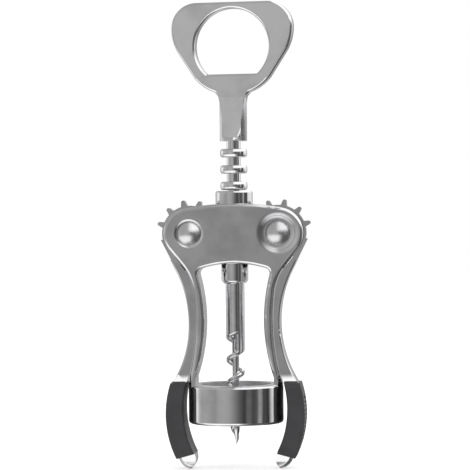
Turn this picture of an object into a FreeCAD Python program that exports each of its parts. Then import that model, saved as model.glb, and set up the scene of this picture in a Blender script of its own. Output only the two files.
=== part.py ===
import FreeCAD, Part
import math
import os
import Sketcher
from FreeCAD import Placement, Rotation, Vector

# Wing corkscrew, standing upright with its wings down. Millimetres, +Z up.
# The origin is the centre of the bell's lower rim. X runs from wing to wing, the front faces -Y.

sizes = {
    # pivots and gearing
    "pivot_spread": 34.0,
    "pivot_height": 73.0,
    "rack_pitch": 6.2832,
    "sector_teeth_full": 12,
    "sector_teeth": 7,
    "first_tooth_angle": 18.2,
    "tooth_height": 2.3,
    "tooth_addendum": 1.0,
    "tooth_root_width": 2.3,
    "tooth_tip_width": 1.5,
    "sector_width": 6.0,
    "running_gap": 0.06,
    "side_gap": 0.1,
    # bell
    "bell_outer": 36.5,
    "bell_height": 15.0,
    "bell_wall": 2.75,
    "bell_ledge": 2.0,
    "bell_seat_height": 10.0,
    "bell_edge": 1.2,
    # yoke: head plates and struts
    "yoke_depth": 15.4,
    "slot_width": 11.0,
    "slot_floor": 59.3,
    "head_end_radius": 9.8,
    "head_crown_radius": 104.0,
    "flank_angle": 39.5,
    "flank_radius": 20.0,
    "strut_bow": 90.0,
    "strut_width": 3.27,
    "waist_height": 39.5,
    "foot_inset": 0.2,
    "foot_height": 17.5,
    "foot_depth": 3.0,
    "window_bow_step": 21.5,
    "window_corner": 2.0,
    "arch_top": 61.4,
    "arch_radius": 41.6,
    "yoke_edge": 1.2,
    "boss_radius": 6.6,
    "boss_height": 0.35,
    "recess_radius": 5.6,
    "recess_depth": 0.5,
    # collar and bush
    "collar_outer": 14.3,
    "collar_bottom": 82.3,
    "collar_top": 89.2,
    "collar_edge": 0.8,
    "collar_lip": 1.0,
    "collar_rim": 0.7,
    "collar_rim_cover": 0.35,
    "bush_wall": 0.9,
    "bush_gap": 0.05,
    # rivets
    "pin_radius": 2.5,
    "dome_radius": 4.7,
    "dome_rise": 2.5,
    "tail_radius": 2.0,
    "tail_length": 1.0,
    # spindle
    "spindle_turn": -8.5,
    "ring_outer": 10.5,
    "ring_core": 5.4,
    "ring_thickness": 3.2,
    "ring_count": 6,
    "ring_edge": 0.4,
    "end_outer": 10.3,
    "end_bottom": 54.8,
    "end_cone_height": 1.2,
    "end_cone_radius": 4.1,
    "neck_top": 125.2,
    "neck_flat_bottom": 4.75,
    "neck_flat_start": 1.2,
    "rack_play": 0.1,
    "loop_thickness": 4.8,
    "loop_centre": 144.8,
    "loop_rise": 17.0,
    "loop_half_width": 23.9,
    "loop_corner": 10.0,
    "loop_cheek_x": 20.6,
    "loop_cheek_z": 3.2,
    "loop_cheek_radius": 18.4,
    "loop_jaw_x": 14.8,
    "loop_jaw_z": 12.1,
    "loop_jaw_radius": 17.8,
    "loop_chin_x": 6.8,
    "loop_chin_z": 17.7,
    "opener_radius": 14.5,
    "opener_ledge": 10.7,
    "loop_edge": 1.0,
    # worm
    "worm_outer": 7.3,
    "worm_core": 2.8,
    "worm_pitch": 8.9,
    "worm_phase_rise": 3.6,
    "worm_socket": 9.2,
    "worm_flute_top": 37.0,
    "worm_point": 8.3,
    "worm_taper": 11.0,
    "worm_land": 2.6,
    "worm_root_land": 3.6,
    # lever
    "arm_depth": 13.0,
    "arm_gap": 0.4,
    "arm_foot_rise": 4.0,
    "bell_gap": 0.6,
    "hook_reach": 11.2,
    "hook_drop": 2.4,
    "step_radius": 12.5,
    "arm_waist_width": 2.5,
    "arm_waist_z": 35.0,
    "arm_upper_bow": 45.0,
    "arm_lower_bow": 44.0,
    "arm_end_width": 5.25,
    "arm_end_z": 57.4,
    "arm_lip_height": 3.4,
    "arm_lip_depth": 0.9,
    "arm_edge": 0.7,
    "hub_radius": 6.3,
    # grip
    "grip_depth": 14.0,
    "grip_bow": 38.0,
    "grip_crown_depth": 1.9,
    "grip_bend_z": 71.0,
    "grip_heel_width": 3.15,
    "grip_heel_z": 86.3,
    "grip_toe_width": 2.95,
    "grip_toe_z": 84.2,
    "grip_toe_bow": 31.0,
    "grip_wall": 2.3,
    "grip_bevel": 1.0,
    "core_depth": 9.0,
    "rib_count": 10,
    "rib_spacing": 1.83,
    "rib_width": 1.0,
    "rib_height": 0.45,
    "rib_first_z": 61.4,
    "tip_width": 1.35,
    "tip_z": 90.4,
    "tip_depth": 12.4,
    "tip_edge": 1.5,
    "tip_heel_radius": 6.2,
    "tip_toe_radius": 4.6,
}

doc = FreeCAD.newDocument("wing_corkscrew")
sheet = doc.addObject("Spreadsheet::Sheet", "Sizes")
for row, (name, number) in enumerate(sizes.items(), start=1):
    sheet.set(f"A{row}", name)
    sheet.set(f"B{row}", str(number))
    sheet.setAlias(f"B{row}", name)
doc.recompute()


class Size:
    """A length or angle that carries its number and the sheet formula it comes from."""

    def __init__(self, value, text):
        self.value = float(value)
        self.text = text

    def __add__(self, other):
        other = size(other)
        return Size(self.value + other.value, f"({self.text} + {other.text})")

    def __sub__(self, other):
        other = size(other)
        return Size(self.value - other.value, f"({self.text} - {other.text})")

    def __mul__(self, other):
        other = size(other)
        return Size(self.value * other.value, f"({self.text} * {other.text})")

    def __truediv__(self, other):
        other = size(other)
        return Size(self.value / other.value, f"({self.text} / {other.text})")

    def __neg__(self):
        return Size(-self.value, f"(0 - {self.text})")

    def __radd__(self, other):
        return size(other) + self

    def __rsub__(self, other):
        return size(other) - self

    def __rmul__(self, other):
        return size(other) * self

    def __rtruediv__(self, other):
        return size(other) / self


def size(item):
    if isinstance(item, Size):
        return item
    return Size(item, repr(float(item)))


def read(name):
    return Size(getattr(sheet, name), f"Sizes.{name}")


def root(item):
    item = size(item)
    return Size(math.sqrt(item.value), f"sqrt({item.text})")


def cosine(item):
    item = size(item)
    return Size(math.cos(math.radians(item.value)), f"cos({item.text})")


def sine(item):
    item = size(item)
    return Size(math.sin(math.radians(item.value)), f"sin({item.text})")


def arctangent(item):
    item = size(item)
    return Size(math.degrees(math.atan(item.value)), f"(atan({item.text}) / 1 deg)")


def bind(item, prop, amount):
    item.setExpression(prop, size(amount).text)


def new_body(label):
    body = doc.addObject("PartDesign::Body", label)
    body.Label = label
    return body


def plane(body, role):
    for feature in body.Origin.OriginFeatures:
        if feature.Role == role:
            return feature
    raise ValueError(role)


def new_sketch(body, role, name, offset=None, turn=0):
    sketch = body.newObject("Sketcher::SketchObject", name)
    sketch.AttachmentSupport = [(plane(body, role), "")]
    sketch.MapMode = "FlatFace"
    if offset is not None:
        sketch.AttachmentOffset = Placement(
            Vector(0, 0, size(offset).value), Rotation(Vector(0, 0, 1), turn)
        )
        bind(sketch, "AttachmentOffset.Base.z", offset)
    doc.recompute()
    return sketch


def fix_point(sketch, geometry, position, point):
    """Hold one sketch point at its two sheet formulas."""
    for axis, kind, amount in ((-2, "DistanceX", point[0]), (-1, "DistanceY", point[1])):
        amount = size(amount)
        if abs(amount.value) < 1e-9:
            sketch.addConstraint(
                Sketcher.Constraint("PointOnObject", geometry, position, axis)
            )
            continue
        index = sketch.addConstraint(
            Sketcher.Constraint(kind, -1, 1, geometry, position, amount.value)
        )
        bind(sketch, f"Constraints[{index}]", amount)


def flat(point):
    return Vector(size(point[0]).value, size(point[1]).value, 0)


def arc_centre(start, end, radius):
    """Centre of the short arc that leaves start with its centre on the left when radius > 0."""
    chord = end - start
    half = chord.Length / 2
    across = Vector(-chord.y, chord.x, 0).normalize()
    reach = math.sqrt(max(radius * radius - half * half, 0.0))
    return (start + end) * 0.5 + across * (reach if radius > 0 else -reach)


def outline(sketch, start, steps):
    """Closed outline of lines and arcs.

    A step is (end point, radius, joint): no radius draws a line, and a radius below 0 turns right.
    The joint at the end point is a held corner unless it is "free" (tangent, found by the sketch)
    or "held" (tangent, at its sheet formulas).
    """
    drawn = []
    here = start
    for step in steps:
        there = step[0]
        first = flat(here)
        last = flat(there)
        joint = step[2] if len(step) > 2 else None
        if len(step) == 1 or step[1] is None:
            index = sketch.addGeometry(Part.LineSegment(first, last))
            drawn.append((index, 1, 2, there, None, joint))
        else:
            radius = size(step[1])
            middle = arc_centre(first, last, radius.value)
            ring = Part.Circle(middle, Vector(0, 0, 1), abs(radius.value))
            if radius.value > 0:
                begin, finish = first - middle, last - middle
            else:
                begin, finish = last - middle, first - middle
            low = math.atan2(begin.y, begin.x)
            high = math.atan2(finish.y, finish.x)
            if high < low:
                high += 2 * math.pi
            index = sketch.addGeometry(Part.ArcOfCircle(ring, low, high))
            turn = (1, 2) if radius.value > 0 else (2, 1)
            drawn.append((index, turn[0], turn[1], there, radius, joint))
        here = there
    for place, (index, begin, finish, point, radius, joint) in enumerate(drawn):
        after = drawn[(place + 1) % len(drawn)]
        kind = "Tangent" if joint else "Coincident"
        sketch.addConstraint(
            Sketcher.Constraint(kind, index, finish, after[0], after[1])
        )
    for index, begin, finish, point, radius, joint in drawn:
        if joint != "free":
            fix_point(sketch, index, finish, point)
        if radius is not None:
            amount = radius if radius.value > 0 else -radius
            held = sketch.addConstraint(
                Sketcher.Constraint("Radius", index, amount.value)
            )
            bind(sketch, f"Constraints[{held}]", amount)
    doc.recompute()
    return sketch


def hold(sketch, kind, geometry, position, amount):
    """One more DistanceX or DistanceY from the sketch origin."""
    amount = size(amount)
    index = sketch.addConstraint(
        Sketcher.Constraint(kind, -1, 1, geometry, position, amount.value)
    )
    bind(sketch, f"Constraints[{index}]", amount)


def circle(sketch, centre, radius):
    radius = size(radius)
    ring = Part.Circle(flat(centre), Vector(0, 0, 1), radius.value)
    index = sketch.addGeometry(ring)
    fix_point(sketch, index, 3, centre)
    held = sketch.addConstraint(Sketcher.Constraint("Radius", index, radius.value))
    bind(sketch, f"Constraints[{held}]", radius)
    return index


def feature(body, kind, name, sketch):
    made = body.newObject(f"PartDesign::{kind}", name)
    made.Profile = sketch
    return made


def pad(body, name, sketch, length, both_ways=True, reverse=False):
    made = feature(body, "Pad", name, sketch)
    made.Length = size(length).value
    made.Midplane = both_ways
    made.Reversed = reverse
    bind(made, "Length", length)
    doc.recompute()
    return made


def pocket(body, name, sketch, length=None, both_ways=True, reverse=False):
    made = feature(body, "Pocket", name, sketch)
    made.Midplane = both_ways
    made.Reversed = reverse
    if length is None:
        made.Type = "ThroughAll"
    else:
        made.Length = size(length).value
        bind(made, "Length", length)
    doc.recompute()
    return made


def spin(body, kind, name, sketch, axis="V_Axis"):
    made = feature(body, kind, name, sketch)
    made.ReferenceAxis = (sketch, [axis])
    made.Angle = 360
    doc.recompute()
    return made


def soften(body, name, base, radius, wanted, kind="Fillet"):
    """Round or bevel the edges of base that wanted() picks."""
    names = []
    for number, edge in enumerate(base.Shape.Edges, start=1):
        if wanted(edge):
            names.append(f"Edge{number}")
    if not names:
        raise ValueError(f"{name}: no edge found")
    made = body.newObject(f"PartDesign::{kind}", name)
    made.Base = (base, names)
    prop = "Radius" if kind == "Fillet" else "Size"
    setattr(made, prop, size(radius).value)
    bind(made, prop, radius)
    doc.recompute()
    return made


def at_depth(edge, depth):
    """An edge that lies flat in a plane of constant Y."""
    box = edge.BoundBox
    return abs(box.YMin - depth) < 1e-4 and abs(box.YMax - depth) < 1e-4


def mirrored_steps(start, steps, joint_at_start=None):
    """The same path walked back on the other side of the Z axis."""
    points = [(start, joint_at_start)]
    for step in steps:
        points.append((step[0], step[2] if len(step) > 2 else None))
    back = []
    for place in range(len(steps) - 1, -1, -1):
        point, joint = points[place]
        radius = steps[place][1] if len(steps[place]) > 1 else None
        back.append(((-size(point[0]), point[1]), radius, joint))
    return back


# Sizes that several pieces share
pivot_x = read("pivot_spread") / 2
pivot_z = read("pivot_height")
turn_reach = read("rack_pitch") * read("sector_teeth_full") / (2 * math.pi)
tooth_step = 360 / read("sector_teeth_full")
slot_half = read("slot_width") / 2
face_half = read("yoke_depth") / 2
recess_floor = face_half + read("boss_height") - read("recess_depth")
ring_radius = read("ring_outer") / 2
bush_bore = ring_radius + read("rack_play")
bush_outer = bush_bore + read("bush_wall")
seat_bore = bush_outer + read("bush_gap")
collar_seat = read("collar_bottom") + read("collar_lip")
rim_under = read("collar_top") - read("collar_rim")
dome_ball = (read("dome_radius") * read("dome_radius") + read("dome_rise") * read("dome_rise")) / (
    2 * read("dome_rise")
)
hub_half = slot_half - read("side_gap")

# Rings sit half a pitch off the teeth that face the rack.
near_tooth = tooth_step - read("first_tooth_angle")
ring_zero = pivot_z + turn_reach * near_tooth * (math.pi / 180) - read("rack_pitch") / 2
end_top = ring_zero - read("rack_pitch") + read("ring_thickness") / 2
neck_bottom = ring_zero + read("rack_pitch") * read("ring_count") - read("ring_thickness") / 2
socket_mouth = read("end_bottom") - read("end_cone_height")
socket_end = socket_mouth + read("worm_socket")
worm_radius = read("worm_outer") / 2

# Frame casting: head plates, struts, bell and collar
frame = new_body("frame")
head_end = read("head_end_radius")
flank_angle = read("flank_angle")
bell_radius = read("bell_outer") / 2
bore_radius = bell_radius - read("bell_wall")
throat_radius = bore_radius - read("bell_ledge")
foot_outer_x = bell_radius - read("foot_inset")
bow_rise = read("waist_height") - read("bell_height")
bow_x = foot_outer_x + root(read("strut_bow") * read("strut_bow") - bow_rise * bow_rise)
strut_waist_x = bow_x - read("strut_bow")
window_bow = read("strut_bow") - read("window_bow_step")
window_bow_x = strut_waist_x - read("strut_width") + window_bow
window_rise = read("waist_height") - read("foot_height")
foot_inner_x = window_bow_x - root(window_bow * window_bow - window_rise * window_rise)


def flank_points(gap):
    """Near points of the flank, gap outside the head and strut: line start, line end, arc end."""
    angle = math.radians(flank_angle.value)
    reach = head_end.value + gap
    centre = Vector(pivot_x.value, pivot_z.value, 0)
    first = centre + Vector(math.cos(angle), -math.sin(angle), 0) * reach
    along = Vector(-math.sin(angle), -math.cos(angle), 0)
    across = Vector(math.cos(angle), -math.sin(angle), 0)
    small = read("flank_radius").value - gap
    large = read("strut_bow").value - gap
    bow = Vector(bow_x.value, read("waist_height").value, 0)
    start = first + across * small - bow
    lean = start.dot(along)
    travel = -lean + math.sqrt(lean * lean - start.dot(start) + (large - small) ** 2)
    second = first + along * travel
    middle = second + across * small
    third = bow + (middle - bow).normalize() * large
    return first, second, third


def plain(vector):
    return (vector.x, vector.y)


def window_points():
    """Near points where the corner arc meets the window's side and the arch."""
    corner = read("window_corner").value
    arch = read("arch_radius").value - corner
    side = window_bow.value + corner
    side_x = window_bow_x.value
    arch_centre = Vector(0, read("arch_top").value - read("arch_radius").value, 0)
    side_centre = Vector(side_x, read("waist_height").value, 0)
    apart = side_centre - arch_centre
    along = (arch**2 - side**2 + apart.Length**2) / (2 * apart.Length)
    lift = math.sqrt(arch**2 - along**2)
    unit = Vector(apart.x, apart.y, 0).normalize()
    centre = arch_centre + unit * along + Vector(-unit.y, unit.x, 0) * lift
    low = centre + (side_centre - centre).normalize() * corner
    high = centre + (centre - arch_centre).normalize() * corner
    return low, high


flank_first, flank_second, flank_third = flank_points(0)
window_low, window_high = window_points()
right_side = [
    (plain(flank_first), -head_end, "free"),
    (plain(flank_second), None, "free"),
    (plain(flank_third), read("flank_radius"), "free"),
    ((foot_outer_x, read("bell_height")), read("strut_bow")),
    ((foot_outer_x, read("bell_height") - read("foot_depth")),),
    ((foot_inner_x, read("bell_height") - read("foot_depth")),),
    ((foot_inner_x, read("foot_height")),),
    (plain(window_low), -window_bow, "free"),
    (plain(window_high), read("window_corner"), "free"),
]
crown_lean = pivot_x / (read("head_crown_radius") - head_end)
crown_right = (
    pivot_x.value + head_end.value * crown_lean.value,
    pivot_z.value + head_end.value * math.sqrt(1 - crown_lean.value**2),
)
crown_left = (-crown_right[0], crown_right[1])
yoke_path = [(crown_right, -read("head_crown_radius"), "free")]
yoke_path += right_side
yoke_path += [((-window_high.x, window_high.y), read("arch_radius"), "free")]
yoke_path += mirrored_steps(crown_right, right_side, "free")
yoke_sketch = outline(new_sketch(frame, "XZ_Plane", "yoke_outline"), crown_left, yoke_path)
tangent_x = pivot_x + head_end * cosine(flank_angle)
for way, head_arc, head_far, strut_arc, side_arc in ((1, 1, 1, 4, 8), (-1, 19, 2, 16, 12)):
    hold(yoke_sketch, "DistanceX", head_arc, 3, way * pivot_x)
    hold(yoke_sketch, "DistanceY", head_arc, 3, pivot_z)
    hold(yoke_sketch, "DistanceX", head_arc, head_far, way * tangent_x)
    hold(yoke_sketch, "DistanceY", strut_arc, 3, read("waist_height"))
    hold(yoke_sketch, "DistanceY", side_arc, 3, read("waist_height"))
fix_point(yoke_sketch, 10, 3, (0, read("arch_top") - read("arch_radius")))
doc.recompute()
yoke = pad(frame, "yoke", yoke_sketch, read("yoke_depth"))


def on_yoke_face(edge):
    front = face_half.value
    on_face = at_depth(edge, front) or at_depth(edge, -front)
    return on_face and edge.BoundBox.ZMax > read("foot_height").value + 1


yoke_round = soften(frame, "yoke_edges", yoke, read("yoke_edge"), on_yoke_face)

boss_sketch = new_sketch(frame, "XZ_Plane", "boss_circles")
circle(boss_sketch, (pivot_x, pivot_z), read("boss_radius"))
circle(boss_sketch, (-pivot_x, pivot_z), read("boss_radius"))
pad(frame, "bosses", boss_sketch, read("yoke_depth") + 2 * read("boss_height"))

slot_reach = pivot_x + read("head_end_radius") + 5
slot_sketch = outline(
    new_sketch(frame, "XY_Plane", "slot_outline", read("slot_floor")),
    (-slot_reach, -slot_half),
    [
        ((slot_reach, -slot_half),),
        ((slot_reach, slot_half),),
        ((-slot_reach, slot_half),),
        ((-slot_reach, -slot_half),),
    ],
)
pocket(frame, "slot", slot_sketch, None, False, True)

bell_edge = read("bell_edge")
bell_sketch = outline(
    new_sketch(frame, "XZ_Plane", "bell_profile"),
    (bore_radius, 0),
    [
        ((bell_radius - bell_edge, 0),),
        ((bell_radius, bell_edge), bell_edge),
        ((bell_radius, read("bell_height") - bell_edge),),
        ((bell_radius - bell_edge, read("bell_height")), bell_edge),
        ((throat_radius, read("bell_height")),),
        ((throat_radius, read("bell_seat_height")),),
        ((bore_radius, read("bell_seat_height")),),
        ((bore_radius, 0),),
    ],
)
spin(frame, "Revolution", "bell", bell_sketch)

trim_sketch = outline(
    new_sketch(frame, "XZ_Plane", "foot_trim"),
    (bell_radius, read("bell_height") - read("foot_depth") - 1),
    [
        ((bell_radius + 8, read("bell_height") - read("foot_depth") - 1),),
        ((bell_radius + 8, read("foot_height") + 8),),
        ((bell_radius, read("foot_height") + 8),),
        ((bell_radius, read("bell_height") - read("foot_depth") - 1),),
    ],
)
spin(frame, "Groove", "trimmed_feet", trim_sketch)

collar_radius = read("collar_outer") / 2
collar_edge = read("collar_edge")
collar_sketch = outline(
    new_sketch(frame, "XZ_Plane", "collar_profile"),
    (0, read("collar_bottom")),
    [
        ((collar_radius, read("collar_bottom")),),
        ((collar_radius, read("collar_top") - collar_edge),),
        ((collar_radius - collar_edge, read("collar_top")), collar_edge),
        ((0, read("collar_top")),),
        ((0, read("collar_bottom")),),
    ],
)
spin(frame, "Revolution", "collar", collar_sketch)

lip_bore = bush_bore + read("bush_gap")
rim_bore = bush_outer - read("collar_rim_cover")
bore_sketch = outline(
    new_sketch(frame, "XZ_Plane", "collar_bore"),
    (0, read("collar_bottom") - 1),
    [
        ((lip_bore, read("collar_bottom") - 1),),
        ((lip_bore, collar_seat),),
        ((seat_bore, collar_seat),),
        ((seat_bore, rim_under),),
        ((rim_bore, rim_under),),
        ((rim_bore, read("collar_top") + 1),),
        ((0, read("collar_top") + 1),),
        ((0, read("collar_bottom") - 1),),
    ],
)
spin(frame, "Groove", "bush_seat", bore_sketch)

recess_plane = face_half + read("boss_height")
front_recess = new_sketch(frame, "XZ_Plane", "front_recess", recess_plane)
circle(front_recess, (pivot_x, pivot_z), read("recess_radius"))
circle(front_recess, (-pivot_x, pivot_z), read("recess_radius"))
pocket(frame, "front_recesses", front_recess, read("recess_depth"), False)
back_recess = new_sketch(frame, "XZ_Plane", "back_recess", -recess_plane)
circle(back_recess, (pivot_x, pivot_z), read("recess_radius"))
circle(back_recess, (-pivot_x, pivot_z), read("recess_radius"))
pocket(frame, "back_recesses", back_recess, read("recess_depth"), False, True)

pin_holes = new_sketch(frame, "XZ_Plane", "pin_holes")
circle(pin_holes, (pivot_x, pivot_z), read("pin_radius"))
circle(pin_holes, (-pivot_x, pivot_z), read("pin_radius"))
pocket(frame, "pin_bores", pin_holes)

# Guide bush in the collar
guide_bush = new_body("guide_bush")
bush_low = collar_seat + read("bush_gap")
bush_high = rim_under - read("bush_gap")
bush_sketch = outline(
    new_sketch(guide_bush, "XZ_Plane", "bush_profile"),
    (bush_bore, bush_low),
    [
        ((bush_outer, bush_low),),
        ((bush_outer, bush_high),),
        ((bush_bore, bush_high),),
        ((bush_bore, bush_low),),
    ],
)
spin(guide_bush, "Revolution", "sleeve", bush_sketch)

# Spindle casting: opener loop, neck, ring rack and worm socket
spindle = new_body("spindle")
loop_top = read("loop_centre") + read("loop_rise")
loop_side = read("loop_half_width")
loop_corner = read("loop_corner")
loop_half = read("loop_thickness") / 2
loop_right = [
    ((loop_side, loop_top - loop_corner), -loop_corner),
    (
        (read("loop_cheek_x"), read("loop_centre") - read("loop_cheek_z")),
        -read("loop_cheek_radius"),
    ),
    ((read("loop_jaw_x"), read("loop_centre") - read("loop_jaw_z")),),
    (
        (read("loop_chin_x"), read("loop_centre") - read("loop_chin_z")),
        -read("loop_jaw_radius"),
    ),
    ((ring_radius, read("neck_top")),),
    ((ring_radius - 0.8, read("neck_top") - 4),),
]
loop_start = (-(loop_side - loop_corner), loop_top)
loop_path = [((loop_side - loop_corner, loop_top),)]
loop_path += loop_right
loop_path += [((0.8 - ring_radius, read("neck_top") - 4),)]
loop_path += mirrored_steps((loop_side - loop_corner, loop_top), loop_right)
loop_sketch = outline(new_sketch(spindle, "XZ_Plane", "loop_outline"), loop_start, loop_path)
pad(spindle, "loop", loop_sketch, read("loop_thickness"))

opener = read("opener_radius")
ledge = read("opener_ledge")
half_chord = root(opener * opener - ledge * ledge)
opener_sketch = outline(
    new_sketch(spindle, "XZ_Plane", "opener_outline"),
    (-half_chord, read("loop_centre") - ledge),
    [
        ((half_chord, read("loop_centre") - ledge),),
        ((0, read("loop_centre") + opener), opener),
        ((-half_chord, read("loop_centre") - ledge), opener),
    ],
)
opener_cut = pocket(spindle, "opener", opener_sketch)


def on_loop_face(edge):
    half = loop_half.value
    box = edge.BoundBox
    return (at_depth(edge, half) or at_depth(edge, -half)) and box.ZMax > neck_top_number + 0.5


neck_top_number = read("neck_top").value
soften(spindle, "loop_edges", opener_cut, read("loop_edge"), on_loop_face)

end_radius = read("end_outer") / 2
core_radius = read("ring_core") / 2
stem_sketch = outline(
    new_sketch(spindle, "XZ_Plane", "stem_profile"),
    (worm_radius, socket_mouth),
    [
        ((read("end_cone_radius"), socket_mouth),),
        ((end_radius, read("end_bottom")),),
        ((end_radius, end_top),),
        ((core_radius, end_top),),
        ((core_radius, neck_bottom),),
        ((ring_radius, neck_bottom),),
        ((ring_radius, read("neck_top")),),
        ((0, read("neck_top")),),
        ((0, socket_end),),
        ((worm_radius, socket_end),),
        ((worm_radius, socket_mouth),),
    ],
)
spin(spindle, "Revolution", "stem", stem_sketch)

ring_low = ring_zero - read("ring_thickness") / 2
ring_high = ring_zero + read("ring_thickness") / 2
ring_edge = read("ring_edge")
ring_sketch = outline(
    new_sketch(spindle, "XZ_Plane", "ring_profile"),
    (core_radius - 0.5, ring_low),
    [
        ((ring_radius - ring_edge, ring_low),),
        ((ring_radius, ring_low + ring_edge), ring_edge),
        ((ring_radius, ring_high - ring_edge),),
        ((ring_radius - ring_edge, ring_high), ring_edge),
        ((core_radius - 0.5, ring_high),),
        ((core_radius - 0.5, ring_low),),
    ],
)
rack_ring = spin(spindle, "Revolution", "rack_ring", ring_sketch)
rack = spindle.newObject("PartDesign::LinearPattern", "rack")
rack.Originals = [rack_ring]
rack.Direction = (ring_sketch, ["V_Axis"])
rack.Occurrences = int(read("ring_count").value)
rack.Length = (read("rack_pitch") * (read("ring_count") - 1)).value
bind(rack, "Occurrences", read("ring_count"))
bind(rack, "Length", read("rack_pitch") * (read("ring_count") - 1))
spindle.Tip = rack
doc.recompute()

flat_low = neck_bottom + read("neck_flat_start")
for name, way in (("front_flat", -1), ("back_flat", 1)):
    flat_sketch = outline(
        new_sketch(spindle, "YZ_Plane", f"{name}_outline"),
        (way * loop_half, read("neck_top") + 0.01),
        [
            ((way * (ring_radius + 2), read("neck_top") + 0.01),),
            ((way * (ring_radius + 2), flat_low),),
            ((way * read("neck_flat_bottom"), flat_low),),
            ((way * loop_half, read("neck_top") + 0.01),),
        ],
    )
    pocket(spindle, name, flat_sketch)

# Worm: shank and pointed auger
worm = new_body("worm")
worm_tip = -read("worm_point")
blank_sketch = outline(
    new_sketch(worm, "XZ_Plane", "blank_profile"),
    (0, worm_tip),
    [
        ((0.25, worm_tip),),
        ((worm_radius, worm_tip + read("worm_taper")),),
        ((worm_radius, socket_end),),
        ((0, socket_end),),
        ((0, worm_tip),),
    ],
)
blank = spin(worm, "Revolution", "blank", blank_sketch)
flute_low = worm_tip - read("worm_pitch") + read("worm_phase_rise")
mouth_width = read("worm_pitch") - read("worm_land")
root_width = read("worm_pitch") - read("worm_root_land")
flute_sketch = outline(
    new_sketch(worm, "XZ_Plane", "flute_profile"),
    (read("worm_core") / 2, flute_low - root_width / 2),
    [
        ((worm_radius + 1, flute_low - mouth_width / 2),),
        ((worm_radius + 1, flute_low + mouth_width / 2),),
        ((read("worm_core") / 2, flute_low + root_width / 2),),
        ((read("worm_core") / 2, flute_low - root_width / 2),),
    ],
)
flute = worm.newObject("PartDesign::SubtractiveHelix", "flute")
flute.Profile = flute_sketch
flute.ReferenceAxis = (flute_sketch, ["V_Axis"])
flute.Mode = 0
flute.Pitch = read("worm_pitch").value
flute.Height = (read("worm_flute_top") - flute_low).value
flute.LeftHanded = False
flute.Reversed = False
bind(flute, "Pitch", read("worm_pitch"))
bind(flute, "Height", read("worm_flute_top") - flute_low)
doc.recompute()


def sided(side, steps):
    """Steps drawn for the right wing, turned over for the left."""
    made = []
    for step in steps:
        point = (side * size(step[0][0]), step[0][1])
        radius = step[1] if len(step) > 1 else None
        joint = step[2] if len(step) > 2 else None
        made.append((point, None if radius is None else side * size(radius), joint))
    return made


def sided_point(side, point):
    return (side * size(point[0]), point[1])


# Both wings are drawn about their pivot, which is the origin of their bodies.
strut_gap = read("arm_gap")
arm_bow = read("strut_bow") - strut_gap
arm_foot_z = read("bell_height") + read("arm_foot_rise") - pivot_z
arm_foot_rise = read("bell_height") + read("arm_foot_rise") - read("waist_height")
arm_foot_x = bow_x - pivot_x - root(arm_bow * arm_bow - arm_foot_rise * arm_foot_rise)
arm_first, arm_second, arm_third = flank_points(strut_gap.value)
grip_x = bell_radius + read("bell_gap") - pivot_x
arm_low = -read("arm_end_z")
arm_end_x = grip_x + read("arm_end_width")
toe_x = grip_x - read("grip_toe_width")
heel = (grip_x + read("grip_heel_width"), -read("grip_heel_z"))
toe = (toe_x, -read("grip_toe_z"))
bend = (grip_x, -read("grip_bend_z"))
tooth_tip = turn_reach + read("tooth_addendum")
tooth_root = tooth_tip - read("tooth_height")


def arc_middle(first, last, radius):
    """Centre of the arc from first to last that turns right, as sheet formulas."""
    chord_x = last[0] - first[0]
    chord_z = last[1] - first[1]
    length_two = chord_x * chord_x + chord_z * chord_z
    reach = root(radius * radius / length_two - 0.25)
    return (
        (first[0] + last[0]) / 2 + chord_z * reach,
        (first[1] + last[1]) / 2 - chord_x * reach,
    )


grip_top = (arm_end_x, arm_low)
grip_centre = arc_middle(grip_top, heel, read("grip_bow"))
core_bow = read("grip_bow") - read("grip_wall")


def on_circle(centre, radius, height):
    """The point of a circle at this height, on its outer side."""
    rise = height - centre[1]
    return (centre[0] + root(radius * radius - rise * rise), height)


core_over = 1.5
core_top = on_circle(grip_centre, core_bow, arm_low + core_over)
core_heel = on_circle(grip_centre, core_bow, -read("grip_heel_z") - core_over)
core_toe = (toe_x + read("grip_wall"), -read("grip_toe_z") - core_over)
core_steps = [
    (core_heel, -core_bow),
    (core_toe,),
    ((grip_x + read("grip_wall"), -read("grip_bend_z")), read("grip_toe_bow") + read("grip_wall")),
    ((grip_x + read("grip_wall"), arm_low + core_over),),
    (core_top,),
]


def near_tangent(point, centre, radius):
    """Where the line from point touches the circle, on its far side."""
    apart = point - centre
    swing = math.acos(radius / apart.Length)
    heading = math.atan2(apart.y, apart.x) + swing
    return centre + Vector(math.cos(heading), math.sin(heading), 0) * radius


hook = (read("hook_reach"), -read("hook_drop"))
waist = (strut_waist_x + strut_gap + read("arm_waist_width") - pivot_x, -read("arm_waist_z"))
lower_centre = arc_centre(flat(waist), flat(grip_top), read("arm_lower_bow").value)
upper_centre = flat(waist) + (lower_centre - flat(waist)).normalize() * read("arm_upper_bow").value
arm_back = near_tangent(flat(hook), upper_centre, read("arm_upper_bow").value)
pivot_point = Vector(pivot_x.value, pivot_z.value, 0)
arm_steps = [
    (plain(arm_back), None, "free"),
    (waist, read("arm_upper_bow"), "held"),
    (grip_top, read("arm_lower_bow")),
    ((grip_x, arm_low),),
    ((arm_foot_x, arm_foot_z),),
    (plain(arm_third - pivot_point), -arm_bow, "free"),
    (plain(arm_second - pivot_point), strut_gap - read("flank_radius"), "free"),
    (
        (
            (head_end + strut_gap) * cosine(flank_angle),
            -(head_end + strut_gap) * sine(flank_angle),
        ),
    ),
    ((0, 0),),
    (hook,),
]


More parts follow.
